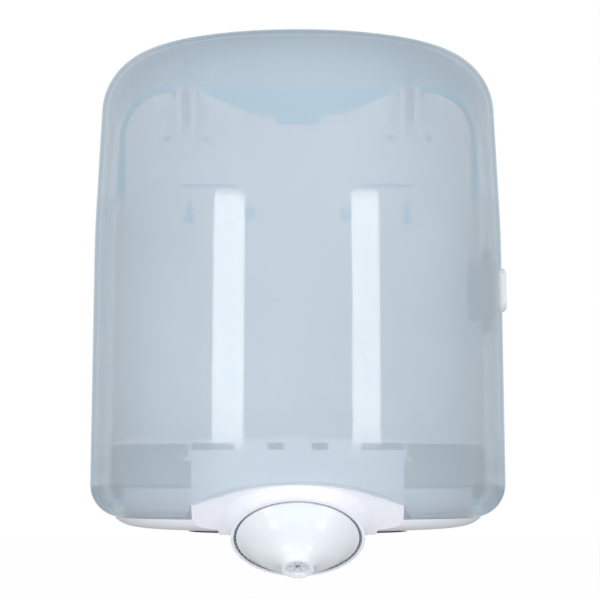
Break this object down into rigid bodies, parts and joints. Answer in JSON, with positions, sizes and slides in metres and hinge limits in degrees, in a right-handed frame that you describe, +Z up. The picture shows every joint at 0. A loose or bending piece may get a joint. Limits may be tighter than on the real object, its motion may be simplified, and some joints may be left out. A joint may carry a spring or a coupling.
{
  "type": "centrefeed roll dispenser",
  "caption": "Wall-mounted centrefeed paper roll dispenser: see-through lift-up cover with a side latch, white base and a turning paper nozzle that points forwards and down.",
  "frame": {"origin": "middle of the rectangle of four wall screws, on the wall plane at the back face of the back shell", "axes": "+Z up, +Y into the wall, the front faces -Y, +X to the right as seen from the front"},
  "size_m": [0.257, 0.2357, 0.3192],
  "materials": {
    "tinted_cover": "gloss",
    "white_shell": "gloss",
    "white_base": "satin",
    "white_seat": "satin",
    "white_nozzle": "gloss",
    "grey_plastic": "matte",
    "soft_insert": "matte",
    "buffer_rubber": "matte",
    "steel": "brushed",
    "zinc_steel": "bright",
    "spring_steel": "bright"
  },
  "bodies": {
    "chassis": {"back_shell": "white_shell", "base_housing": "white_base", "nozzle_collar": "white_nozzle", "roll_seat": "white_seat", "paper_guide": "white_seat", "hinge_bracket_left": "grey_plastic", "hinge_bracket_right": "grey_plastic", "hinge_pins": "steel", "pin_clips": "spring_steel", "hinge_screws": "zinc_steel", "base_screws": "zinc_steel", "seat_screws": "zinc_steel", "guide_screws": "zinc_steel", "collar_screws": "zinc_steel", "cover_buffers": "buffer_rubber"},
    "cover": {"front_cover": "tinted_cover", "latch_housing": "grey_plastic", "latch_spring": "spring_steel", "latch_screws": "zinc_steel"},
    "latch": {"latch_button": "grey_plastic"},
    "nozzle": {"nozzle_cone": "white_nozzle", "retaining_ring": "grey_plastic", "tip_sleeve": "white_nozzle", "metering_insert": "soft_insert"}
  },
  "joints": [
    {"name": "cover_hinge", "type": "hinge", "parent": "chassis", "child": "cover", "pos_m": [0, -0.013, 0.136], "axis": [-1, 0, 0], "range_deg": [0, 90]},
    {"name": "latch_press", "type": "slide", "parent": "cover", "child": "latch", "axis": [-1, 0, 0], "range_m": [0, 0.003], "stiffness_N_per_m": 600, "springref_m": -0.002, "deforming": ["latch_spring"]},
    {"name": "nozzle_spin", "type": "hinge", "parent": "chassis", "child": "nozzle", "pos_m": [0, -0.2014, -0.1525], "axis": [0, -0.5878, -0.809], "continuous": true}
  ]
}
